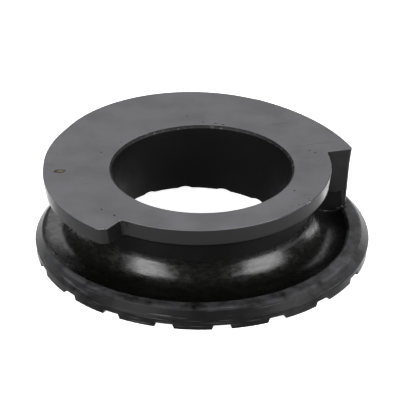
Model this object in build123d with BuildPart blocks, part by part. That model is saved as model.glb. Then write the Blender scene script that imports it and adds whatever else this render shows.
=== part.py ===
from build123d import *
import os
from math import asin, cos, degrees, radians, sin, sqrt, tan

# Coil spring insulator: one moulded rubber ring that sits between a spring seat
# and the end coil of the spring. Millimetres, +Z up, origin on the bore's axis at
# the level of the lugs' feet. Angles are read from above, counterclockwise from
# the +X axis, and the wall that the spring's end butts against stands on +X.

# Heights
total_height = 35.0
flange_thickness = 7.0
rim_height = 8.0
foot_band_height = 4.2

# Bore
bore_diameter = 74.0
bore_chamfer = 1.0

# Foot ring, which flares out below the rim's edge down to a parting step
rim_diameter = 132.0
flare_diameter = 139.0
parting_step = 0.4
rim_edge_chamfer = 0.5

# Flange outline: a round disc with a lobe over the place where the wire leaves, a
# shoulder that eases one into the other, flattened beside the lobe, and set back
# over the narrow front
wide_radius = 65.3
lobe_direction = 96.0
lobe_reach = 71.2
lobe_radius = 56.8
shoulder_reach = 68.4
shoulder_radius = 63.8
flat_direction = 20.0
flat_reach = 64.1
flat_radius = 88.0
narrow_angle = 140.3
narrow_radius = 54.6
narrow_setback = 2.6
narrow_setback_direction = 107.0
step_outer_rounding = 3.6
step_inner_rounding = 2.0
wall_outer_rounding = 1.4

# Most of the stop wall's foot, outside the channel's floor, that its rounding may take
wall_rounding_share = 0.75

# Side walls lean inward on their way down, for release from the mould
flange_draft = 7.0
wall_draft = 3.6

# Channel for the wire: a round floor and inner side under a flat roof. It starts
# at the stop wall, runs clockwise and widens by three tangent arcs until it
# leaves the body
channel_radius = 10.75
channel_roof_radius = 4.5
channel_floor_height = 6.5
first_arc_radius = 55.8
second_arc_radius = 61.0
third_arc_radius = 91.0
first_arc_angle = 90.0
second_arc_angle = 180.0
third_arc_angle = 46.0

# Underside: radial notches between the lugs, a leaning dish around the bore and
# shallow scallops along the bore's lower edge
lug_count = 19
notch_depth = 1.9
notch_width = 7.8
notch_side_draft = 20.0
notch_direction = -3.1
dish_diameter = 100.0
dish_depth = 4.9
dish_lean = 3.9
dish_lean_direction = 165.7
scallop_count = 14
scallop_radius = 7.0
scallop_depth = 0.7
scallop_length = 9.0
scallop_direction = 61.9

# Room that the dish's cutting cone takes below the feet
dish_overrun = 9.0

# Values that follow from the sizes above
bore_radius = bore_diameter / 2
rim_radius = rim_diameter / 2
flare_radius = flare_diameter / 2
foot_radius = flare_radius - parting_step
dish_radius = dish_diameter / 2
underside_height = total_height - flange_thickness
channel_height = channel_floor_height + channel_radius
channel_floor_angle = 180 - degrees(asin((channel_height - rim_height) / channel_radius))
channel_floor_reach = first_arc_radius + sqrt(channel_radius**2 - (channel_height - rim_height) ** 2)
flange_lean = flange_thickness * tan(radians(flange_draft))
wall_lean = (underside_height - rim_height) * tan(radians(wall_draft))
wall_foot_width = wide_radius - flange_lean - wall_lean - channel_floor_reach
wall_edge_rounding = min(wall_outer_rounding, wall_rounding_share * wall_foot_width)
clear_reach = lobe_reach + 2 * channel_radius
lobe_offset = lobe_reach - lobe_radius
shoulder_offset = shoulder_reach - shoulder_radius
flat_offset = flat_radius - flat_reach
second_arc_centre = second_arc_radius - first_arc_radius
third_arc_centre = second_arc_centre + second_arc_radius - third_arc_radius
notch_top_width = notch_width - 2 * notch_depth * tan(radians(notch_side_draft))
dish_slope = dish_depth / (dish_radius - bore_radius)
scallop_fall = scallop_depth + dish_slope * scallop_length


def polar(distance, direction):
    """Point at a distance from the bore's axis, in a direction in degrees."""
    return (distance * cos(radians(direction)), distance * sin(radians(direction)))


def channel_section(centre_y, start_x, start_y, arc_radius):
    """Section of the channel on the upright plane where one of its arcs starts.

    The arc turns about an upright axis at centre_y, and (start_x, start_y) is the
    direction from that axis to the arc's start.
    """
    start_plane = Plane((0, centre_y, 0), x_dir=(start_x, start_y, 0), z_dir=(start_y, -start_x, 0))
    roof_centre = (
        arc_radius - channel_radius + channel_roof_radius,
        underside_height - channel_roof_radius,
    )
    with BuildSketch(start_plane) as section:
        with BuildLine():
            floor = CenterArc((arc_radius, channel_height), channel_radius, 180, channel_floor_angle)
            roof = CenterArc(roof_centre, channel_roof_radius, 90, 90)
            Polyline(
                floor @ 1,
                (arc_radius + clear_reach, rim_height),
                (arc_radius + clear_reach, underside_height),
                roof @ 0,
            )
            Line(roof @ 1, floor @ 0)
        make_face()
    return section.sketch


# Foot ring in section: rim top, flare, parting step and the band of the lugs
with BuildSketch(Plane.XZ) as foot_section:
    with BuildLine():
        Polyline(
            (0, 0),
            (foot_radius, 0),
            (foot_radius, foot_band_height),
            (flare_radius, foot_band_height),
            (rim_radius, rim_height),
            (0, rim_height),
            close=True,
        )
    make_face()
    rim_edge = foot_section.vertices().sort_by_distance((rim_radius, rim_height))[0]
    chamfer(rim_edge, rim_edge_chamfer)

# Flange seen from above, before its front is set back
with BuildSketch(Plane.XY.offset(total_height)) as wide_outline:
    Circle(wide_radius)
    with Locations(polar(lobe_offset, lobe_direction)):
        Circle(lobe_radius)
    with Locations(polar(shoulder_offset, lobe_direction)):
        Circle(shoulder_radius)
    make_hull()
    with Locations(polar(-flat_offset, flat_direction)):
        Circle(flat_radius, mode=Mode.INTERSECT)

with BuildPart() as wide_flange:
    extrude(wide_outline.sketch, amount=-flange_thickness)
    flange_sides = wide_flange.faces().filter_by(Axis.Z, reverse=True)
    draft(flange_sides, Plane.XY.offset(total_height), -flange_draft)

# Body under the flange, out of which the channel is cut
with BuildPart() as core:
    extrude(wide_flange.faces().sort_by(Axis.Z)[0], amount=underside_height - rim_height)
    core_sides = core.faces().filter_by(Axis.Z, reverse=True)
    draft(core_sides, Plane.XY.offset(underside_height), -wall_draft)

# Round outline that the flange's front is set back to
with BuildPart() as narrow_disc:
    with BuildSketch(Plane.XY.offset(total_height)):
        with Locations(polar(narrow_setback, narrow_setback_direction)):
            Circle(narrow_radius)
    extrude(amount=-flange_thickness)
    disc_side = narrow_disc.faces().filter_by(Axis.Z, reverse=True)
    draft(disc_side, Plane.XY.offset(total_height), -flange_draft)

# What the set-back takes from the flange, from the stop wall clockwise to the step
with BuildPart() as front_cutaway:
    with BuildSketch(Plane.XY.offset(underside_height)):
        with BuildLine():
            Line((0, 0), (clear_reach, 0))
            CenterArc((0, 0), clear_reach, 0, -narrow_angle)
            Line(polar(clear_reach, -narrow_angle), (0, 0))
        make_face()
    extrude(amount=flange_thickness)
    add(narrow_disc.part, mode=Mode.SUBTRACT)

# The channel's space, arc by arc, open outwards between the rim and the flange
with BuildPart() as channel:
    revolve(
        channel_section(0, 1, 0, first_arc_radius),
        axis=Axis.Z,
        revolution_arc=-first_arc_angle,
    )
    revolve(
        channel_section(second_arc_centre, 0, -1, second_arc_radius),
        axis=Axis((0, second_arc_centre, 0), (0, 0, 1)),
        revolution_arc=-second_arc_angle,
    )
    revolve(
        channel_section(third_arc_centre, 0, 1, third_arc_radius),
        axis=Axis((0, third_arc_centre, 0), (0, 0, 1)),
        revolution_arc=-third_arc_angle,
    )

# One radial groove for a scallop, which runs out into the dish's surface
with BuildPart() as scallop:
    scallop_plane = Plane(
        (bore_radius, 0, dish_depth + scallop_depth),
        x_dir=(0, 1, 0),
        z_dir=(scallop_length, 0, -scallop_fall),
    )
    with BuildSketch(scallop_plane):
        with Locations((0, -scallop_radius)):
            Circle(scallop_radius)
    extrude(amount=scallop_length, both=True)

# Dish with its scallops, upright; it leans only where it is cut from the body
with BuildPart() as dish:
    with BuildSketch(Plane.XZ):
        with BuildLine():
            Polyline(
                (0, dish_slope * dish_radius),
                (0, -dish_overrun),
                (dish_radius + dish_overrun / dish_slope, -dish_overrun),
                close=True,
            )
        make_face()
    revolve(axis=Axis.Z)
    with PolarLocations(0, scallop_count, scallop_direction):
        add(scallop.part)

# Notch between two lugs, narrower at its top
with BuildPart() as notch:
    with BuildSketch(Plane.YZ.offset(bore_radius)):
        with BuildLine():
            Polyline(
                (-notch_width / 2, 0),
                (-notch_top_width / 2, notch_depth),
                (notch_top_width / 2, notch_depth),
                (notch_width / 2, 0),
                close=True,
            )
        make_face()
    extrude(amount=clear_reach - bore_radius)

with BuildPart() as insulator:
    revolve(foot_section.sketch, axis=Axis.Z)
    add(core.part)
    add(wide_flange.part)
    add(front_cutaway.part, mode=Mode.SUBTRACT)
    add(channel.part, mode=Mode.SUBTRACT)

    # Bore with its chamfered upper edge
    with BuildSketch(Plane.XZ):
        with BuildLine():
            Polyline(
                (0, 0),
                (bore_radius, 0),
                (bore_radius, total_height - bore_chamfer),
                (bore_radius + bore_chamfer, total_height),
                (0, total_height),
                close=True,
            )
        make_face()
    revolve(axis=Axis.Z, mode=Mode.SUBTRACT)

    # Upright corners of the step and of the stop wall, whose edge runs on below
    # the flange
    least_upright = 0.9
    for corner, edge_count, rounding in (
        (polar(wide_radius, -narrow_angle), 1, step_outer_rounding),
        (polar(narrow_radius, -narrow_angle), 1, step_inner_rounding),
        (polar(wide_radius, 0), 2, wall_edge_rounding),
    ):
        upright_edges = insulator.edges().filter_by(
            lambda edge: abs(edge.tangent_at(0.5).Z) > least_upright
        )
        corner_edges = upright_edges.sort_by_distance((*corner, underside_height))[:edge_count]
        fillet(corner_edges, rounding)

    # Underside
    lean_axis = Axis((0, 0, 0), (*polar(1, dish_lean_direction - 90), 0))
    add(dish.part.rotate(lean_axis, dish_lean), mode=Mode.SUBTRACT)
    with PolarLocations(0, lug_count, notch_direction):
        add(notch.part, mode=Mode.SUBTRACT)
insulator.part.label = "insulator"

os.makedirs("parts", exist_ok=True)
export_step(insulator.part, "parts/insulator.step")
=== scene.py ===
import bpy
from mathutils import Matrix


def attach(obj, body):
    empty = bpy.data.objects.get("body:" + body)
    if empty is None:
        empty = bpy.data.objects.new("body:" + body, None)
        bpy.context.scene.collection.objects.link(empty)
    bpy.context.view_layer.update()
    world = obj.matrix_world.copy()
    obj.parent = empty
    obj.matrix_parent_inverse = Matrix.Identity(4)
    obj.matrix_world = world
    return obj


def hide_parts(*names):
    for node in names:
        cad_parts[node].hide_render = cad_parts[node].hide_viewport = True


bl_info = {
    "name": "Coil spring insulator",
    "version": (1, 0, 0),
    "blender": (4, 5, 0),
    "location": "3D View > Sidebar > Insulator",
    "description": "Finishes a rubber coil spring insulator and sets it up in a small studio",
    "category": "Object",
}

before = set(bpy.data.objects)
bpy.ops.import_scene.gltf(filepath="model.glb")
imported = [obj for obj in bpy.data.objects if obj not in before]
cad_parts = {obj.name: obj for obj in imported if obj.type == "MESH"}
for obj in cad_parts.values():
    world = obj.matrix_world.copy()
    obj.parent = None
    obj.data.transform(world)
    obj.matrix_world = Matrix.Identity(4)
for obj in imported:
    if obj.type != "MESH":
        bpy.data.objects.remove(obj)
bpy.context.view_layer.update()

import random
from math import atan2, cos, degrees, hypot, pi, radians, sin

import bmesh
import bpy
from bpy.props import FloatProperty, FloatVectorProperty, IntProperty, PointerProperty
from bpy.types import Operator, Panel, PropertyGroup
from mathutils import Matrix, Vector
from mathutils.bvhtree import BVHTree
from mathutils.geometry import barycentric_transform

MM = 0.001

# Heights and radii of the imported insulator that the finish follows, in millimetres
TOP_HEIGHT = 35.0
UNDERSIDE_HEIGHT = 28.0
RIM_HEIGHT = 8.0
CHANNEL_MIDDLE = 17.4
BAND_HEIGHT = 4.2
BORE_RADIUS = 37.0
RIM_RADIUS = 66.0
FOOT_RADIUS = 69.1

# How far the chamfers and roundings around the top reach down, and out from the bore
TOP_EDGE_DEPTH = 1.1
BORE_EDGE_WIDTH = 1.2

# How far the rim's rounding reaches down, and its outer chamfer down and in
RIM_EDGE_DEPTH = 0.3
RIM_CHAMFER_DEPTH = 1.2
RIM_CHAMFER_WIDTH = 0.9

# The step's upright face: the direction of its plane in degrees, where it starts, how far
# from the plane a spot may lie, and how squarely the face has to look out of the plane
STEP_DIRECTION = -140.3
STEP_START = 50
STEP_SLACK = 2.5
STEP_FACING = 0.93

# Where the stop wall starts, how far from its plane a spot may lie, and where the body's
# outer side starts
STOP_WALL_START = 46
STOP_WALL_SLACK = 2
BODY_SIDE_START = 55

# How far the channel's sides go down below the rim, the height that its floor stays
# above, and how far the foot's outer part goes in from the rim
CHANNEL_DEPTH = 0.7
CHANNEL_FLOOR = 5.2
FOOT_WIDTH = 3

# Slack for comparing a spot with one of these sizes, in millimetres
NEAR = 0.1

# Directions of the upright planes that part the ring's flat faces into sectors, in
# degrees, so that no face runs around the bore
SECTOR_CUTS = (17, 107)

# Folds of the surface, in degrees: those of a flat face's triangles, of a straight run of
# edges, and of an edge that is sharp
FLAT_FOLD = 0.5
STRAIGHT_FOLD = 1
SHARP_FOLD = 28

# How far apart two points still count as one, in millimetres
WELD = 0.001

# Part of a face's normal along a direction, above which the face counts as looking that way
FACING = 0.9

# Least upward part of the normal on the flange's top, the rim's top and the channel's
# floor, and its bounds on the edges around the top and on the body's leaning outer side
TOP_RISE = 0.5
RIM_RISE = 0.8
FLOOR_RISE = 0.85
TOP_EDGE_RISE = (0.3, 0.97)
BODY_SIDE_RISE = (-0.08, -0.05)

# Finishes of the body's faces, in the order of FINISHES
TOP, SIDE, CHANNEL, FOOT, BORE_AND_SHADE, TORN, TALC, NICKED_LIT = range(8)

# What is torn or chipped out of the top: radius and direction, length and width, the
# turn of its length from the radial direction, and the finish left in it. The first is
# the gate's scar.
SCARS = (
    (58.3, 168.9, 6.6, 3.8, 8, TORN),
    (40.8, 75.0, 1.2, 0.6, 75, SIDE),
    (39.9, 67.5, 1.5, 0.6, 80, SIDE),
    (39.2, 62.3, 1.7, 0.7, 85, SIDE),
    (46.9, 83.5, 0.8, 0.6, 30, SIDE),
    (43.9, 148.3, 1.0, 0.6, 20, SIDE),
    (40.5, 132.6, 0.7, 0.6, 0, SIDE),
    (47.0, 3.6, 0.9, 0.7, 20, SIDE),
    (48.8, 0.8, 0.9, 0.6, 20, SIDE),
    (42.2, -42.7, 1.3, 0.7, 80, SIDE),
    (53.1, -152.8, 1.0, 0.7, 40, SIDE),
    (52.8, -145.1, 1.4, 0.9, 70, SIDE),
    (48.4, -57.1, 1.5, 0.3, 70, SIDE),
    (49.8, -53.6, 1.2, 0.35, 80, SIDE),
    (50.6, -51.2, 1.6, 0.3, 75, SIDE),
    (51.3, -47.8, 1.3, 0.4, 85, SIDE),
    (50.2, -46.4, 0.9, 0.35, 60, SIDE),
    (43.7, 80.1, 0.7, 0.6, 0, TALC),
    (49.7, -125.8, 0.9, 0.8, 0, TALC),
    (63.6, -141.6, 0.8, 0.6, 60, TALC),
    (51.8, -50.0, 0.8, 0.4, 85, TALC),
)

# Seed and number of corners of the scars' uneven outlines, the least part of its reach
# that a corner keeps, and how far the cutter stands out of the surface, in millimetres
SCAR_SEED = 4
SCAR_CORNERS = 9
LEAST_REACH = 0.75
CUTTER_OVERRUN = 0.5

# Depths from which a spot counts as lying in a scar and by which it may lie deeper than
# the scar, in millimetres, and how far from its middle, as a part of its length
SCAR_START = 0.02
SCAR_SLACK = 0.05
SCAR_REACH = 0.55

# Crease across the stop wall, as x and z of its outline, and its two sides
CREASE_OUTLINE = (
    (57.3, 15.4), (58.85, 15.25), (60.4, 15.5), (60.4, 15.75), (58.85, 15.65), (57.3, 15.7),
)
CREASE_SIDES = (-0.2, 0.3)
CREASE_HEIGHT = 15.4

# Fin of flash along the stop wall's foot, as x and z of its outline, and its two sides.
# It shows between the heights FLASH_FOOT and FLASH_TOP, and talc has caught on it from
# TALC_START outwards.
FLASH_OUTLINE = (
    (54.9, 6.2), (58.5, 6.5), (61.0, 7.2), (62.6, 7.6), (62.9, 8.7), (62.2, 9.0), (61.4, 8.3),
    (60.6, 8.5), (59.8, 7.7), (58.8, 7.8), (57.7, 7.1), (56.6, 7.3), (55.6, 6.7), (54.7, 6.6),
)
FLASH_SIDES = (-0.7, -0.45)
FLASH_FOOT = 6.7
FLASH_TOP = 10.0
TALC_START = 59.0

# Middle of the stretch at the foot's front where hands have rubbed the dust away and the
# foot is painted darker, with painted sheen growing towards its ends, as radius, direction and
# height
CLEAN_AND_SHADED_SPOT = (68.0, -107.0, 5.0)

# Directions between which the flange's upper edge is nicked and carries a painted highlight
NICKED_LIT_EDGE = (-66.0, -18.0)

# Lamps: direction and height angle in degrees, distance, width and height in metres,
# and brightness per area, where 1 is a white that just fills the picture
LAMPS = (
    ("left_softbox", -149.3, 18, 1.2, 0.6, 1.3, 9.0),
    ("right_softbox", -43.5, 15, 1.2, 0.82, 1.15, 8.0),
    ("back_light", 75.7, 30, 1.5, 1.4, 0.7, 1.7),
    ("horizon_light", 75.7, -16.5, 1.2, 4.3, 0.88, 2.9),
    ("side_light", 8.0, -20, 1.2, 1.3, 0.5, 1.5),
    ("floor_light", 75.7, -90, 1.0, 2.8, 2.8, 0.6),
)

# Studio: radius of the table and the backdrop and height of the backdrop, in metres,
# their own brightness, and the brightness of the room around them
STUDIO_RADIUS = 3.0
BACKDROP_HEIGHT = 4.0
ROUND_POINTS = 96
TABLE_GLOW = 0.95
PAPER_GLOW = 1.0
ROOM_GLOW = 0.06

# Framing: height of the insulator's middle, how far left of it and above it the camera
# aims, in millimetres, and the camera's roll in degrees
MIDDLE_HEIGHT = 17.6
AIM_LEFT = 0.83
AIM_UP = 1.7
CAMERA_ROLL = -0.09

# Width of the camera's sensor in millimetres, and how far it sees in metres
SENSOR_WIDTH = 36
FARTHEST_SEEN = 50

# Sockets of a node that mixes colours, whose names repeat for each kind of value
FACTOR, COLOUR_A, COLOUR_B, MIXED = 0, 6, 7, 2

# Sockets of a node that calculates or adds up, which share one name
FIRST, SECOND, THIRD = 0, 1, 2


def linear(hex_colour):
    """Linear RGBA of an sRGB hex colour such as #808080."""
    channels = [int(hex_colour[i : i + 2], 16) / 255 for i in (1, 3, 5)]
    curve = [c / 12.92 if c <= 0.04045 else ((c + 0.055) / 1.055) ** 2.4 for c in channels]
    return (*curve, 1.0)


def per_mm(feature):
    """Texture scale, for coordinates in metres, that gives features of this many millimetres."""
    return 1 / (feature * MM)


def add_node(tree, kind, settings=None, links=None):
    """Add a node, set its properties and inputs by name or number, and link its inputs."""
    node = tree.nodes.new(kind)
    for name, value in (settings or {}).items():
        if isinstance(name, str) and name in node.bl_rna.properties:
            setattr(node, name, value)
        else:
            node.inputs[name].default_value = value
    for name, output in (links or {}).items():
        tree.links.new(output, node.inputs[name])
    return node


def new_material(build, settings):
    """Material named after the function that adds its nodes and gives back the last one."""
    material = bpy.data.materials.new(build.__name__)
    material.use_nodes = True
    tree = material.node_tree
    tree.nodes.clear()
    output = add_node(tree, "ShaderNodeOutputMaterial")
    shader = build(tree, settings)
    tree.links.new(shader.outputs[0], output.inputs["Surface"])
    return material


def bloomed_rubber_with_painted_light(tree, finish):
    """Carbon-black natural rubber pressed against a grit-blasted mould face, lying upwards.

    The grain spreads every reflection, and wax that has risen to the surface and fine dust
    lie on it as a cloudy haze, so the flange's top looks mid grey with faint clouds. The mid grey
    is partly painted light from above, lighter than the sides of the same rubber.
    """
    place = add_node(tree, "ShaderNodeTexCoord").outputs["Object"]
    # Wax and dust lie in clouds about 16 mm across
    clouds = add_node(
        tree,
        "ShaderNodeTexNoise",
        {"Scale": per_mm(16), "Detail": 5.0},
        {"Vector": place},
    )
    # The blasted grain is about 0.1 mm, drawn coarser so that it shows
    grain = add_node(
        tree,
        "ShaderNodeTexNoise",
        {"Scale": per_mm(0.8), "Detail": 3.0},
        {"Vector": place},
    )
    # The top's greys are partly painted light from above, as well as haze
    haze = add_node(
        tree,
        "ShaderNodeMapRange",
        {"From Min": 0.36, "From Max": 0.6},
        {"Value": clouds.outputs["Fac"]},
    )
    bloom = add_node(
        tree,
        "ShaderNodeMix",
        {"data_type": "RGBA", COLOUR_A: finish.top_haze_and_light_colour, COLOUR_B: finish.bloom_and_light_colour},
        {FACTOR: haze.outputs["Result"]},
    )
    # Fine scratches, 1.6 mm apart and about 30 mm long, where the haze is rubbed off
    length = add_node(
        tree,
        "ShaderNodeMapping",
        {"Rotation": (0, 0, radians(12)), "Scale": (0.05, 1, 1)},
        {"Vector": place},
    )
    strokes = add_node(
        tree,
        "ShaderNodeTexNoise",
        {"Scale": per_mm(1.6), "Detail": 2.0},
        {"Vector": length.outputs["Vector"]},
    )
    scratch = add_node(
        tree,
        "ShaderNodeMapRange",
        {"From Min": 0.68, "From Max": 0.8, "To Max": 0.45},
        {"Value": strokes.outputs["Fac"]},
    )
    scratched = add_node(
        tree,
        "ShaderNodeMix",
        {"data_type": "RGBA", COLOUR_B: finish.side_colour},
        {FACTOR: scratch.outputs["Result"], COLOUR_A: bloom.outputs[MIXED]},
    )
    dullness = add_node(
        tree,
        "ShaderNodeMapRange",
        {"From Min": 0.3, "From Max": 0.7, "To Min": 0.58, "To Max": 0.66},
        {"Value": clouds.outputs["Fac"]},
    )
    relief = add_node(
        tree,
        "ShaderNodeBump",
        {"Strength": 0.25, "Distance": 0.05 * MM},
        {"Height": grain.outputs["Fac"]},
    )
    return add_node(
        tree,
        "ShaderNodeBsdfPrincipled",
        {"IOR": 1.45, "Specular IOR Level": 0.3},
        {
            "Base Color": scratched.outputs[MIXED],
            "Roughness": dullness.outputs["Result"],
            "Normal": relief.outputs["Normal"],
        },
    )


def satin_moulded_rubber(tree, finish):
    """The same blasted finish on the upright sides, where less haze stays.

    They look darker than the top, whose grey is partly painted light from above, and spread
    the lamps into wide, soft highlights.
    """
    place = add_node(tree, "ShaderNodeTexCoord").outputs["Object"]
    # What haze stays makes duller spots about 7 mm across
    clouds = add_node(
        tree,
        "ShaderNodeTexNoise",
        {"Scale": per_mm(7), "Detail": 5.0},
        {"Vector": place},
    )
    # The grain as coarse as on the top
    grain = add_node(
        tree,
        "ShaderNodeTexNoise",
        {"Scale": per_mm(0.8), "Detail": 3.0},
        {"Vector": place},
    )
    dullness = add_node(
        tree,
        "ShaderNodeMapRange",
        {"From Min": 0.3, "From Max": 0.7, "To Min": 0.3, "To Max": 0.42},
        {"Value": clouds.outputs["Fac"]},
    )
    relief = add_node(
        tree,
        "ShaderNodeBump",
        {"Strength": 0.25, "Distance": 0.06 * MM},
        {"Height": grain.outputs["Fac"]},
    )
    return add_node(
        tree,
        "ShaderNodeBsdfPrincipled",
        {"Base Color": finish.side_colour, "IOR": 1.45},
        {"Roughness": dullness.outputs["Result"], "Normal": relief.outputs["Normal"]},
    )


def polished_moulded_rubber(tree, finish):
    """The same rubber pressed against a polished mould face, as the channel's is.

    It mirrors the lamps as soft streaked patches and stays near black elsewhere.
    """
    place = add_node(tree, "ShaderNodeTexCoord").outputs["Object"]
    level = add_node(tree, "ShaderNodeMapping", {"Scale": (1, 1, 3)}, {"Vector": place})
    # The rubber's flow in the mould leaves level waves, 12 mm long and 4 mm high
    flow = add_node(
        tree,
        "ShaderNodeTexNoise",
        {"Scale": per_mm(12), "Detail": 1.5},
        {"Vector": level.outputs["Vector"]},
    )
    # Streaks of the mould's polishing, about 3 mm long and 1 mm high
    streaks = add_node(
        tree,
        "ShaderNodeTexNoise",
        {"Scale": per_mm(3.2), "Detail": 2.0},
        {"Vector": level.outputs["Vector"]},
    )
    tint = add_node(
        tree,
        "ShaderNodeMix",
        {"data_type": "RGBA", COLOUR_A: finish.polished_colour, COLOUR_B: finish.oil_colour},
        {FACTOR: flow.outputs["Fac"]},
    )
    dullness = add_node(
        tree,
        "ShaderNodeMapRange",
        {
            "From Min": 0.38,
            "From Max": 0.62,
            "To Min": finish.polished_roughness - 0.04,
            "To Max": finish.polished_roughness + 0.06,
        },
        {"Value": streaks.outputs["Fac"]},
    )
    waves = add_node(
        tree,
        "ShaderNodeBump",
        {"Strength": 0.5, "Distance": 0.35 * MM},
        {"Height": flow.outputs["Fac"]},
    )
    relief = add_node(
        tree,
        "ShaderNodeBump",
        {"Strength": 0.5, "Distance": 0.025 * MM},
        {"Height": streaks.outputs["Fac"], "Normal": waves.outputs["Normal"]},
    )
    return add_node(
        tree,
        "ShaderNodeBsdfPrincipled",
        {"IOR": 1.45},
        {
            "Base Color": tint.outputs[MIXED],
            "Roughness": dullness.outputs["Result"],
            "Normal": relief.outputs["Normal"],
        },
    )


def rubbed_rubber_with_painted_light(tree, finish):
    """The foot's rubber, moulded half-glossy, then scuffed and dusted by handling.

    Grey patches of dust thicken towards the foot's ends and on the rim's flat top, where they
    are also painted sheen at the ends and painted light from above on the rim's top, and level
    lines catch the light where the mould was turned, partly as a painted highlight.
    """
    place = add_node(tree, "ShaderNodeTexCoord").outputs["Object"]
    # Scuffs and patches of dust about 8 mm across
    marks = add_node(
        tree,
        "ShaderNodeTexNoise",
        {"Scale": per_mm(8), "Detail": 7.0, "Roughness": 0.65},
        {"Vector": place},
    )
    # Marks of the mould's turning, 0.5 mm apart, run level around the foot
    level = add_node(
        tree,
        "ShaderNodeMapping",
        {"Scale": (0.03, 0.03, 1)},
        {"Vector": place},
    )
    lines = add_node(
        tree,
        "ShaderNodeTexNoise",
        {"Scale": per_mm(0.5), "Detail": 2.0},
        {"Vector": level.outputs["Vector"]},
    )
    # Dust grows with the distance from the spot that hands have rubbed, and with it a painted
    # sheen that lightens the foot's ends and a painted shade that darkens its front
    distance = add_node(
        tree,
        "ShaderNodeVectorMath",
        {"operation": "DISTANCE", SECOND: polar(*CLEAN_AND_SHADED_SPOT)},
        {FIRST: place},
    )
    clean_front_and_lit_ends = add_node(
        tree,
        "ShaderNodeMapRange",
        {"From Min": 26 * MM, "From Max": 92 * MM, "To Min": 0.08},
        {"Value": distance.outputs["Value"]},
    )
    patches = add_node(
        tree,
        "ShaderNodeMapRange",
        {"From Min": 0.34, "From Max": 0.56},
        {"Value": marks.outputs["Fac"]},
    )
    height = add_node(tree, "ShaderNodeSeparateXYZ", {}, {"Vector": place})
    # More of it settles on the rim's flat top, where it is also painted light from above
    settled_and_lit_rim = add_node(
        tree,
        "ShaderNodeMapRange",
        {"From Min": 7.2 * MM, "From Max": 7.9 * MM, "To Max": 0.5},
        {"Value": height.outputs["Z"]},
    )
    dust_and_light_amount = add_node(
        tree,
        "ShaderNodeMath",
        {"operation": "MULTIPLY_ADD", SECOND: 0.45},
        {FIRST: clean_front_and_lit_ends.outputs["Result"], THIRD: settled_and_lit_rim.outputs["Result"]},
    )
    # The dust's amount also carries the painted sheen, shade and light
    dust = add_node(
        tree,
        "ShaderNodeMath",
        {"operation": "MULTIPLY"},
        {FIRST: dust_and_light_amount.outputs["Value"], SECOND: patches.outputs["Result"]},
    )
    dusty = add_node(
        tree,
        "ShaderNodeMix",
        {"data_type": "RGBA", COLOUR_A: finish.foot_colour, COLOUR_B: finish.dust_and_light_colour},
        {FACTOR: dust.outputs["Value"]},
    )
    # The highest lines are drawn paler, partly wear and partly a painted highlight where they
    # catch the light
    paler = add_node(
        tree,
        "ShaderNodeMapRange",
        {"From Min": 0.62, "From Max": 0.74, "To Max": 0.35},
        {"Value": lines.outputs["Fac"]},
    )
    colour = add_node(
        tree,
        "ShaderNodeMix",
        {"data_type": "RGBA", COLOUR_B: finish.bloom_and_light_colour},
        {FACTOR: paler.outputs["Result"], COLOUR_A: dusty.outputs[MIXED]},
    )
    dullness = add_node(
        tree,
        "ShaderNodeMapRange",
        {"To Min": finish.foot_roughness - 0.04, "To Max": finish.foot_roughness + 0.16},
        {"Value": dust.outputs["Value"]},
    )
    coarse = add_node(
        tree,
        "ShaderNodeBump",
        {"Strength": 0.4, "Distance": 0.25 * MM},
        {"Height": marks.outputs["Fac"]},
    )
    relief = add_node(
        tree,
        "ShaderNodeBump",
        {"Strength": 0.5, "Distance": 0.1 * MM},
        {"Height": lines.outputs["Fac"], "Normal": coarse.outputs["Normal"]},
    )
    return add_node(
        tree,
        "ShaderNodeBsdfPrincipled",
        {"IOR": 1.45, "Specular IOR Level": 0.15},
        {
            "Base Color": colour.outputs[MIXED],
            "Roughness": dullness.outputs["Result"],
            "Normal": relief.outputs["Normal"],
        },
    )


def turned_rubber_and_painted_shade(tree, finish):
    """Rubber pressed against the mould's turned parts, which leaves it dull and dark.

    It lines the bore, and is put as a painted shade on the channel's upper part under the
    flange, the step's recess and the stop wall's foot, and reads as a soft, even near-black.
    """
    place = add_node(tree, "ShaderNodeTexCoord").outputs["Object"]
    # Duller spots about 9 mm across
    clouds = add_node(
        tree,
        "ShaderNodeTexNoise",
        {"Scale": per_mm(9), "Detail": 4.0},
        {"Vector": place},
    )
    level = add_node(
        tree,
        "ShaderNodeMapping",
        {"Scale": (0.05, 0.05, 1)},
        {"Vector": place},
    )
    # The turning marks are about 0.2 mm apart, drawn coarser so that they show
    lines = add_node(
        tree,
        "ShaderNodeTexNoise",
        {"Scale": per_mm(0.9), "Detail": 2.0},
        {"Vector": level.outputs["Vector"]},
    )
    dullness = add_node(
        tree,
        "ShaderNodeMapRange",
        {"From Min": 0.3, "From Max": 0.7, "To Min": 0.45, "To Max": 0.6},
        {"Value": clouds.outputs["Fac"]},
    )
    relief = add_node(
        tree,
        "ShaderNodeBump",
        {"Strength": 0.3, "Distance": 0.08 * MM},
        {"Height": lines.outputs["Fac"]},
    )
    return add_node(
        tree,
        "ShaderNodeBsdfPrincipled",
        {"Base Color": finish.turned_and_shade_colour, "IOR": 1.45, "Specular IOR Level": 0.13},
        {"Roughness": dullness.outputs["Result"], "Normal": relief.outputs["Normal"]},
    )


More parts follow.
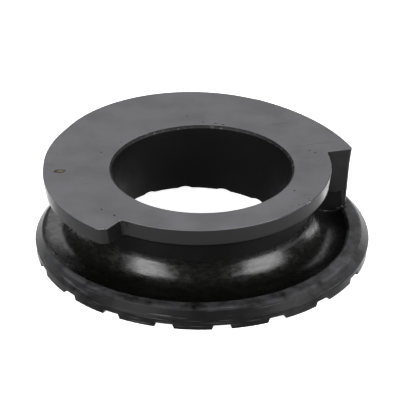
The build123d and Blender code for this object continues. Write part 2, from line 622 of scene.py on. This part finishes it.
def torn_rubber(tree, finish):
    """Torn surface where the gate was pulled off, rough and brown with old dust."""
    place = add_node(tree, "ShaderNodeTexCoord").outputs["Object"]
    # Torn crumbs about 1.4 mm across
    crumbs = add_node(
        tree,
        "ShaderNodeTexNoise",
        {"Scale": per_mm(1.4), "Detail": 5.0},
        {"Vector": place},
    )
    patches = add_node(
        tree,
        "ShaderNodeMapRange",
        {"From Min": 0.4, "From Max": 0.58},
        {"Value": crumbs.outputs["Fac"]},
    )
    colour = add_node(
        tree,
        "ShaderNodeMix",
        {"data_type": "RGBA", COLOUR_A: finish.side_colour, COLOUR_B: finish.scar_colour},
        {FACTOR: patches.outputs["Result"]},
    )
    relief = add_node(
        tree,
        "ShaderNodeBump",
        {"Strength": 0.8, "Distance": 0.3 * MM},
        {"Height": crumbs.outputs["Fac"]},
    )
    return add_node(
        tree,
        "ShaderNodeBsdfPrincipled",
        {"Roughness": 0.85, "IOR": 1.45},
        {"Base Color": colour.outputs[MIXED], "Normal": relief.outputs["Normal"]},
    )


def talc_on_rubber(tree, finish):
    """Moulding talc caught on torn rubber, which reads as pale specks and edges."""
    place = add_node(tree, "ShaderNodeTexCoord").outputs["Object"]
    # The powder is far finer, but lies in clumps of about 0.9 mm
    grains = add_node(
        tree,
        "ShaderNodeTexNoise",
        {"Scale": per_mm(0.9), "Detail": 4.0},
        {"Vector": place},
    )
    patches = add_node(
        tree,
        "ShaderNodeMapRange",
        {"From Min": 0.35, "From Max": 0.6},
        {"Value": grains.outputs["Fac"]},
    )
    colour = add_node(
        tree,
        "ShaderNodeMix",
        {"data_type": "RGBA", COLOUR_A: finish.bloom_and_light_colour, COLOUR_B: finish.talc_colour},
        {FACTOR: patches.outputs["Result"]},
    )
    relief = add_node(
        tree,
        "ShaderNodeBump",
        {"Strength": 0.6, "Distance": 0.1 * MM},
        {"Height": grains.outputs["Fac"]},
    )
    return add_node(
        tree,
        "ShaderNodeBsdfPrincipled",
        {"Roughness": 0.9, "IOR": 1.5},
        {"Base Color": colour.outputs[MIXED], "Normal": relief.outputs["Normal"]},
    )


def nicked_lit_rubber_edge(tree, finish):
    """Trimmed, knocked edge, dark with pale crumbs of talc in its nicks, partly a painted
    highlight.
    """
    place = add_node(tree, "ShaderNodeTexCoord").outputs["Object"]
    # Nicks about 1.8 mm long
    nicks = add_node(
        tree,
        "ShaderNodeTexNoise",
        {"Scale": per_mm(1.8), "Detail": 5.0, "Roughness": 0.7},
        {"Vector": place},
    )
    # Pale crumbs, partly talc and partly a painted highlight along the edge
    crumbs = add_node(
        tree,
        "ShaderNodeMapRange",
        {"From Min": 0.56, "From Max": 0.7, "To Max": 0.7},
        {"Value": nicks.outputs["Fac"]},
    )
    colour = add_node(
        tree,
        "ShaderNodeMix",
        {"data_type": "RGBA", COLOUR_A: finish.foot_colour, COLOUR_B: finish.crumb_and_highlight_colour},
        {FACTOR: crumbs.outputs["Result"]},
    )
    relief = add_node(
        tree,
        "ShaderNodeBump",
        {"Strength": 0.9, "Distance": 0.4 * MM},
        {"Height": nicks.outputs["Fac"]},
    )
    return add_node(
        tree,
        "ShaderNodeBsdfPrincipled",
        {"Roughness": 0.55, "IOR": 1.45},
        {"Base Color": colour.outputs[MIXED], "Normal": relief.outputs["Normal"]},
    )


def white_laminate(tree, studio):
    """The table's matt white laminate, lit from within so that it stays an even white."""
    glow = add_node(
        tree,
        "ShaderNodeEmission",
        {"Color": (1, 1, 1, 1), "Strength": TABLE_GLOW},
    )
    matt = add_node(tree, "ShaderNodeBsdfDiffuse", {"Color": studio.floor_colour})
    return add_node(
        tree,
        "ShaderNodeAddShader",
        {},
        {FIRST: glow.outputs["Emission"], SECOND: matt.outputs["BSDF"]},
    )


def white_paper(tree, studio):
    """The backdrop's paper, an even white without shade."""
    return add_node(
        tree,
        "ShaderNodeEmission",
        {"Color": (1, 1, 1, 1), "Strength": PAPER_GLOW},
    )


FINISHES = (
    bloomed_rubber_with_painted_light,
    satin_moulded_rubber,
    polished_moulded_rubber,
    rubbed_rubber_with_painted_light,
    turned_rubber_and_painted_shade,
    torn_rubber,
    talc_on_rubber,
    nicked_lit_rubber_edge,
)


def polar(radius, direction, height=0.0):
    """Place at a radius, a direction in degrees and a height, given in millimetres."""
    turn = radians(direction)
    return Vector((radius * cos(turn), radius * sin(turn), height)) * MM


def prism(shape, outline, depth):
    """Add a closed prism on an outline of points to a mesh, going along a depth vector."""
    near = [shape.verts.new(point) for point in outline]
    far = [shape.verts.new(point + depth) for point in outline]
    shape.faces.new(near)
    shape.faces.new(reversed(far))
    for i in range(len(near)):
        shape.faces.new((near[i - 1], far[i - 1], far[i], near[i]))


def ragged_outline(centre, along, across, length, width, corners, chance):
    """Uneven oval outline with its axes along two unit vectors, sizes in millimetres."""
    outline = []
    for i in range(corners):
        turn = 2 * pi * i / corners
        reach = chance.uniform(LEAST_REACH, 1.0) * MM / 2
        outline.append(centre + reach * (length * cos(turn) * along + width * sin(turn) * across))
    return outline


def tool_object(shape, name):
    """Object that a mesh under construction becomes, to cut or add with."""
    bmesh.ops.recalc_face_normals(shape, faces=shape.faces)
    mesh = bpy.data.meshes.new(name)
    shape.to_mesh(mesh)
    shape.free()
    return bpy.data.objects.new(name, mesh)


def wall_prism(shape, outline, sides):
    """Add a prism on an outline of x and z between two values of y, in millimetres."""
    back, front = sides
    points = [Vector((x * MM, back * MM, z * MM)) for x, z in outline]
    prism(shape, points, Vector((0, front - back, 0)) * MM)


def scar_cutter(depth):
    """Object that takes everything torn or chipped out of the body's surface away."""
    chance = random.Random(SCAR_SEED)
    shape = bmesh.new()
    down = Vector((0, 0, -1))
    for radius, direction, length, width, turn, _ in SCARS:
        centre = polar(radius, direction, TOP_HEIGHT + CUTTER_OVERRUN)
        angle = radians(direction + turn)
        along = Vector((cos(angle), sin(angle), 0))
        across = down.cross(along)
        outline = ragged_outline(centre, along, across, length, width, SCAR_CORNERS, chance)
        prism(shape, outline, down * (depth + CUTTER_OVERRUN * MM))
    wall_prism(shape, CREASE_OUTLINE, CREASE_SIDES)
    return tool_object(shape, "scars")


def flash_fin():
    """Object for the ragged fin that the mould's parting left along the stop wall's foot."""
    shape = bmesh.new()
    wall_prism(shape, FLASH_OUTLINE, FLASH_SIDES)
    return tool_object(shape, "flash")


def combine(context, target, tool, operation):
    """Add one mesh object to another, or take it away, and drop the tool."""
    context.scene.collection.objects.link(tool)
    cut = target.modifiers.new("combine", "BOOLEAN")
    cut.object = tool
    cut.operation = operation
    cut.solver = "EXACT"
    depsgraph = context.evaluated_depsgraph_get()
    mesh = bpy.data.meshes.new_from_object(target.evaluated_get(depsgraph))
    target.modifiers.clear()
    target.data = mesh
    bpy.data.objects.remove(tool)


def is_seen_edge(edge):
    """True for the sharp edges outside the hidden underside."""
    for vertex in edge.verts:
        x, y, z = vertex.co / MM
        if z < BAND_HEIGHT - NEAR and hypot(x, y) < FOOT_RADIUS - 3 * NEAR:
            return False
    return edge.calc_face_angle(0) > radians(SHARP_FOLD)


def rounded_mesh(node, rounding, segments):
    """The node's shape with its seen sharp edges rounded as a mould leaves them, and marked."""
    shape = bmesh.new()
    shape.from_mesh(node.data)
    bmesh.ops.remove_doubles(shape, verts=shape.verts, dist=WELD * MM)
    cuts = [Vector((cos(radians(turn)), sin(radians(turn)), 0)) for turn in SECTOR_CUTS]
    for cut in cuts:
        bmesh.ops.bisect_plane(
            shape,
            geom=shape.verts[:] + shape.edges[:] + shape.faces[:],
            dist=WELD * MM / 10,
            plane_co=(0, 0, 0),
            plane_no=cut,
        )
    kept = {v for v in shape.verts if any(abs(v.co.dot(cut)) < WELD * MM for cut in cuts)}
    bmesh.ops.dissolve_limit(
        shape,
        angle_limit=radians(FLAT_FOLD),
        verts=[v for v in shape.verts if v not in kept],
        edges=[e for e in shape.edges if not (e.verts[0] in kept and e.verts[1] in kept)],
    )
    # Points left in the middle of straight runs along the cuts would make slivers
    idle = [v for v in shape.verts if v.calc_edge_angle(pi) < radians(STRAIGHT_FOLD)]
    bmesh.ops.dissolve_verts(shape, verts=idle)
    rounded = shape.faces.layers.int.new("rounded")
    strips = bmesh.ops.bevel(
        shape,
        geom=[edge for edge in shape.edges if is_seen_edge(edge)],
        offset=rounding,
        segments=segments,
        profile=0.5,
        affect="EDGES",
        clamp_overlap=False,
    )
    for face in strips["faces"]:
        face[rounded] = 1
    for face in shape.faces:
        face.smooth = True
    mesh = bpy.data.meshes.new("moulded_body")
    shape.to_mesh(mesh)
    shape.free()
    return mesh


def follow_true_surface(mesh, node):
    """Shade the mesh by the CAD surface's own normals, and blend them across rounded edges."""
    source = node.data
    corners = source.corner_normals
    triangles = source.polygons
    places = [vertex.co for vertex in source.vertices]
    tree = BVHTree.FromPolygons(places, [tuple(t.vertices) for t in triangles])
    rounded = mesh.attributes["rounded"].data
    normals = [None] * len(mesh.loops)
    shared = {}
    # Each corner is looked up a little inside its face, so that it finds its own side of
    # a sharp edge, and only on triangles that face the same way
    inset, reach, same_way = 0.02, 0.1 * MM, 0.9
    for face in mesh.polygons:
        if rounded[face.index].value:
            continue
        for loop in face.loop_indices:
            vertex = mesh.loops[loop].vertex_index
            point = mesh.vertices[vertex].co.lerp(face.center, inset)
            best = None
            for place, normal, index, distance in tree.find_nearest_range(point, reach):
                if normal.dot(face.normal) > same_way and (best is None or distance < best[2]):
                    best = (place, index, distance)
            normal = face.normal.copy()
            if best:
                triangle = triangles[best[1]]
                a, b, c = (places[v] for v in triangle.vertices)
                na, nb, nc = (corners[i].vector for i in triangle.loop_indices)
                normal = barycentric_transform(best[0], a, b, c, na, nb, nc).normalized()
            normals[loop] = normal
            shared[vertex] = shared.get(vertex, Vector()) + normal
    for face in mesh.polygons:
        if not rounded[face.index].value:
            continue
        for loop in face.loop_indices:
            vertex = mesh.loops[loop].vertex_index
            plain = mesh.vertices[vertex].normal.copy()
            summed = shared.get(vertex)
            normals[loop] = summed.normalized() if summed else plain
    mesh.normals_split_custom_set(normals)


def scar_finish(centre, scar_depth):
    """Number of the finish in the scar or chip that this spot lies in, or None."""
    depth = TOP_HEIGHT - centre.z / MM
    if not SCAR_START < depth < scar_depth / MM + SCAR_SLACK:
        return None
    for radius, direction, length, _, _, finish in SCARS:
        if (centre.xy - polar(radius, direction).xy).length < SCAR_REACH * length * MM:
            return finish
    return None


def is_nicked_lit_edge(x, y, z, normal):
    """True on the bore's chamfer and the nicked stretch of the flange's upper edge, painted
    lighter as a highlight.
    """
    least, most = TOP_EDGE_RISE
    if z < TOP_HEIGHT - TOP_EDGE_DEPTH or not least < normal.z < most:
        return False
    start, end = NICKED_LIT_EDGE
    return hypot(x, y) < BORE_RADIUS + BORE_EDGE_WIDTH or start < degrees(atan2(y, x)) < end


def is_step_recess(x, y, normal):
    """True on the step's upright face, which gets the dull dark finish as a painted shade."""
    turn = radians(STEP_DIRECTION)
    along = x * cos(turn) + y * sin(turn)
    across = y * cos(turn) - x * sin(turn)
    facing = normal.y * cos(turn) - normal.x * sin(turn)
    return abs(across) < STEP_SLACK and along > STEP_START and facing > STEP_FACING


def is_flash(x, y, z):
    """True on the fin of flash, apart from its foot in the channel's floor."""
    start, end = min(FLASH_OUTLINE)[0], max(FLASH_OUTLINE)[0]
    back, front = FLASH_SIDES
    beside = start - NEAR < x < end + NEAR and back - NEAR < y < front + NEAR
    return beside and FLASH_FOOT < z < FLASH_TOP


def is_rim(radius, z, normal):
    """True on the rim's flat top, its inner rounding and its outer chamfer."""
    top = z > RIM_HEIGHT - RIM_EDGE_DEPTH and normal.z > RIM_RISE
    chamfer = z > RIM_HEIGHT - RIM_CHAMFER_DEPTH and radius > RIM_RADIUS - RIM_CHAMFER_WIDTH
    return z < RIM_HEIGHT + NEAR and (top or chamfer)


def channel_finish(x, y, z, normal):
    """Number of the finish in the channel and on the walls that stand above the foot."""
    if x > STOP_WALL_START and abs(y) < STOP_WALL_SLACK and normal.y < -FACING:
        # Below the crease the stop wall's foot gets the dull dark finish as a painted shade
        return SIDE if z > CREASE_HEIGHT else BORE_AND_SHADE
    least, most = BODY_SIDE_RISE
    if hypot(x, y) > BODY_SIDE_START and least < normal.z < most:
        return SIDE
    # Under the flange the channel's upper part gets the dull dark finish as a painted shade
    return BORE_AND_SHADE if z > CHANNEL_MIDDLE else CHANNEL


def finish_of(centre, normal, scar_depth):
    """Number of the finish that this spot of the body has."""
    x, y, z = centre / MM
    radius = hypot(x, y)
    scar = scar_finish(centre, scar_depth)
    if scar is not None:
        return scar
    if is_nicked_lit_edge(x, y, z, normal):
        return NICKED_LIT
    if radius < BORE_RADIUS + BORE_EDGE_WIDTH and abs(normal.z) < FACING:
        return BORE_AND_SHADE
    if z > UNDERSIDE_HEIGHT + NEAR:
        if normal.z > TOP_RISE:
            return TOP
        return BORE_AND_SHADE if is_step_recess(x, y, normal) else SIDE
    if is_flash(x, y, z):
        return TALC if x > TALC_START else NICKED_LIT
    if is_rim(radius, z, normal):
        return FOOT
    if z > RIM_HEIGHT - CHANNEL_DEPTH or normal.z > FLOOR_RISE and z > CHANNEL_FLOOR:
        return channel_finish(x, y, z, normal)
    return FOOT if radius > RIM_RADIUS - FOOT_WIDTH else SIDE


class InsulatorFinish(PropertyGroup):
    """Edges, scars and surfaces of the moulded body"""

    edge_rounding: FloatProperty(
        name="Edge rounding",
        description="Rounding that the mould leaves on sharp edges",
        default=0.3 * MM,
        min=0.0,
        unit="LENGTH",
    )
    edge_segments: IntProperty(
        name="Edge segments",
        description="Faces across each rounded edge",
        default=2,
        min=1,
    )
    scar_depth: FloatProperty(
        name="Scar depth",
        description="Depth of the gate's scar and of the chips",
        default=0.3 * MM,
        min=0.0,
        unit="LENGTH",
    )
    # Partly painted light from above, which greys the top more than the rubber's own haze
    top_haze_and_light_colour: FloatVectorProperty(
        name="Top rubber",
        description="Colour of the flange's top",
        subtype="COLOR",
        size=4,
        default=linear("#626264"),
    )
    # Partly painted light: from above on the top's haze, and as a highlight on the foot's paler
    # lines
    bloom_and_light_colour: FloatVectorProperty(
        name="Bloom",
        description="Colour of the haze that rises to the surface, and of worn lines on the foot",
        subtype="COLOR",
        size=4,
        default=linear("#6f6f73"),
    )
    side_colour: FloatVectorProperty(
        name="Side rubber",
        description="Colour of the flange's sides and of the stop wall",
        subtype="COLOR",
        size=4,
        default=linear("#131314"),
    )
    polished_colour: FloatVectorProperty(
        name="Polished rubber",
        description="Colour of the channel's lower part",
        subtype="COLOR",
        size=4,
        default=linear("#040404"),
    )
    # Also a painted shade under the flange, in the step's recess and on the stop wall's foot
    turned_and_shade_colour: FloatVectorProperty(
        name="Turned rubber",
        description="Colour of the bore, the channel's upper part and the step's recess",
        subtype="COLOR",
        size=4,
        default=linear("#070707"),
    )
    oil_colour: FloatVectorProperty(
        name="Oil film",
        description="Tint of the thin oil film in the channel",
        subtype="COLOR",
        size=4,
        default=linear("#0a0a08"),
    )
    polished_roughness: FloatProperty(
        name="Polished roughness",
        description="Roughness where the mould was polished",
        default=0.26,
        min=0.0,
        max=1.0,
        subtype="FACTOR",
    )
    scar_colour: FloatVectorProperty(
        name="Gate scar",
        description="Colour of the torn rubber and old dust in the gate's scar",
        subtype="COLOR",
        size=4,
        default=linear("#6f6458"),
    )
    # Partly a painted highlight on the bore's chamfer and the flange's upper edge
    crumb_and_highlight_colour: FloatVectorProperty(
        name="Edge crumbs",
        description="Colour of the crumbs in nicked edges",
        subtype="COLOR",
        size=4,
        default=linear("#747472"),
    )
    talc_colour: FloatVectorProperty(
        name="Talc",
        description="Colour of the release powder caught in chips and on the flash",
        subtype="COLOR",
        size=4,
        default=linear("#a8a8a5"),
    )
    foot_colour: FloatVectorProperty(
        name="Foot rubber",
        description="Colour of the foot's outer side",
        subtype="COLOR",
        size=4,
        default=linear("#0a0a0a"),
    )
    # Also painted sheen on the foot's ends and painted light on the rim's top
    dust_and_light_colour: FloatVectorProperty(
        name="Foot dust",
        description="Colour of the foot where dust lies on it",
        subtype="COLOR",
        size=4,
        default=linear("#4e4e50"),
    )
    foot_roughness: FloatProperty(
        name="Foot roughness",
        description="Roughness of the foot's outer side where it is clean",
        default=0.4,
        min=0.0,
        max=1.0,
        subtype="FACTOR",
    )


class InsulatorStudio(PropertyGroup):
    """Table and camera"""

    floor_colour: FloatVectorProperty(
        name="Table",
        description="Colour of the table",
        subtype="COLOR",
        size=4,
        default=linear("#f2f2f2"),
    )
    camera_azimuth: FloatProperty(
        name="Camera azimuth",
        description="Direction from the insulator to the camera, seen from above",
        default=radians(-104.3),
        subtype="ANGLE",
    )
    camera_elevation: FloatProperty(
        name="Camera elevation",
        description="Height angle of the camera",
        default=radians(29.29),
        subtype="ANGLE",
    )
    camera_distance: FloatProperty(
        name="Camera distance",
        description="Distance from the middle of the insulator to the camera",
        default=860 * MM,
        unit="LENGTH",
    )
    focal_length: FloatProperty(
        name="Focal length",
        description="Focal length of the camera's lens in millimetres",
        default=186.8,
        min=1.0,
        unit="CAMERA",
    )


class INSULATOR_OT_body(Operator):
    """Make the moulded body with its flash, its scars and its mould finishes"""

    bl_idname = "insulator.body"
    bl_label = "Moulded body"

    def execute(self, context):
        finish = context.scene.insulator_finish
        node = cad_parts["insulator"]
        mesh = rounded_mesh(node, finish.edge_rounding, finish.edge_segments)
        body = bpy.data.objects.new("moulded_body", mesh)
        context.scene.collection.objects.link(body)
        combine(context, body, scar_cutter(finish.scar_depth), "DIFFERENCE")
        combine(context, body, flash_fin(), "UNION")
        mesh = body.data
        for build in FINISHES:
            mesh.materials.append(new_material(build, finish))
        for face in mesh.polygons:
            face.material_index = finish_of(face.center, face.normal, finish.scar_depth)
        follow_true_surface(mesh, node)
        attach(body, "root")
        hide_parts("insulator")
        return {"FINISHED"}


def toward(azimuth, elevation):
    """Unit vector in a direction seen from above and a height angle, in radians."""
    level = cos(elevation)
    return Vector((level * cos(azimuth), level * sin(azimuth), sin(elevation)))


def add_table(studio):
    """Round white table that no reflection shows."""
    bpy.ops.mesh.primitive_circle_add(
        vertices=ROUND_POINTS,
        radius=STUDIO_RADIUS,
        fill_type="NGON",
    )
    table = bpy.context.object
    table.name = "table"
    table.data.materials.append(new_material(white_laminate, studio))
    table.visible_glossy = False
    table.visible_shadow = False


def add_backdrop(studio):
    """Ring of white paper around the table, which only the camera sees."""
    bpy.ops.mesh.primitive_cylinder_add(
        vertices=ROUND_POINTS,
        radius=STUDIO_RADIUS,
        depth=BACKDROP_HEIGHT,
        end_fill_type="NOTHING",
    )
    backdrop = bpy.context.object
    backdrop.name = "backdrop"
    backdrop.data.materials.append(new_material(white_paper, studio))
    backdrop.visible_diffuse = False
    backdrop.visible_glossy = False
    backdrop.visible_transmission = False
    backdrop.visible_shadow = False


def add_lamp(scene, name, azimuth, elevation, distance, width, height, brightness):
    """Area lamp that faces the insulator from a direction in degrees."""
    lamp = bpy.data.lights.new(name, "AREA")
    lamp.shape = "RECTANGLE"
    lamp.size = width
    lamp.size_y = height
    lamp.energy = brightness * width * height * pi
    light = bpy.data.objects.new(name, lamp)
    direction = toward(radians(azimuth), radians(elevation))
    light.location = Vector((0, 0, MIDDLE_HEIGHT * MM)) + direction * distance
    light.rotation_euler = direction.to_track_quat("Z", "Y").to_euler()
    light.visible_camera = False
    scene.collection.objects.link(light)


def add_room(scene):
    """Faint even light from everywhere."""
    room = bpy.data.worlds.new("studio")
    room.use_nodes = True
    background = room.node_tree.nodes["Background"]
    background.inputs["Color"].default_value = (1, 1, 1, 1)
    background.inputs["Strength"].default_value = ROOM_GLOW
    scene.world = room


def add_camera(scene, studio):
    """Camera that sees the insulator as the photograph does."""
    lens = bpy.data.cameras.new("camera")
    lens.lens = studio.focal_length
    lens.sensor_width = SENSOR_WIDTH
    lens.clip_end = FARTHEST_SEEN
    camera = bpy.data.objects.new("camera", lens)
    scene.collection.objects.link(camera)
    middle = Vector((0, 0, MIDDLE_HEIGHT * MM))
    azimuth = studio.camera_azimuth
    away = toward(azimuth, studio.camera_elevation)
    camera.location = middle + away * studio.camera_distance
    right = Vector((-sin(azimuth), cos(azimuth), 0))
    aim = middle - AIM_LEFT * MM * right + AIM_UP * MM * away.cross(right)
    view = (camera.location - aim).normalized()
    right = Vector((0, 0, 1)).cross(view).normalized()
    axes = Matrix((right, view.cross(right), view)).transposed()
    roll = Matrix.Rotation(radians(CAMERA_ROLL), 3, "Z")
    camera.rotation_euler = (axes @ roll).to_euler()
    scene.camera = camera


class INSULATOR_OT_studio(Operator):
    """Make the table, the backdrop, the lamps and the camera"""

    bl_idname = "insulator.studio"
    bl_label = "Studio"

    def execute(self, context):
        scene = context.scene
        studio = scene.insulator_studio
        add_table(studio)
        add_backdrop(studio)
        for lamp in LAMPS:
            add_lamp(scene, *lamp)
        add_room(scene)
        add_camera(scene, studio)
        scene.view_settings.view_transform = "Standard"
        return {"FINISHED"}


class INSULATOR_PT_sidebar(Panel):
    """Sizes, colours and buttons in the 3D view's sidebar"""

    bl_label = "Coil spring insulator"
    bl_idname = "INSULATOR_PT_sidebar"
    bl_space_type = "VIEW_3D"
    bl_region_type = "UI"
    bl_category = "Insulator"

    def draw(self, context):
        scene = context.scene
        for group, operator in (
            (scene.insulator_finish, INSULATOR_OT_body),
            (scene.insulator_studio, INSULATOR_OT_studio),
        ):
            box = self.layout.box()
            for name in group.bl_rna.properties.keys():
                if name not in ("rna_type", "name"):
                    box.prop(group, name)
            box.operator(operator.bl_idname)


CLASSES = (
    InsulatorFinish,
    InsulatorStudio,
    INSULATOR_OT_body,
    INSULATOR_OT_studio,
    INSULATOR_PT_sidebar,
)


def register():
    """Add the classes to Blender and their properties to the scene."""
    for cls in CLASSES:
        bpy.utils.register_class(cls)
    bpy.types.Scene.insulator_finish = PointerProperty(type=InsulatorFinish)
    bpy.types.Scene.insulator_studio = PointerProperty(type=InsulatorStudio)


def unregister():
    """Take everything that register adds away again."""
    del bpy.types.Scene.insulator_studio
    del bpy.types.Scene.insulator_finish
    for cls in reversed(CLASSES):
        bpy.utils.unregister_class(cls)


def main():
    """Make the insulator and the studio."""
    register()
    bpy.ops.insulator.body()
    bpy.ops.insulator.studio()


if __name__ == "__main__":
    main()
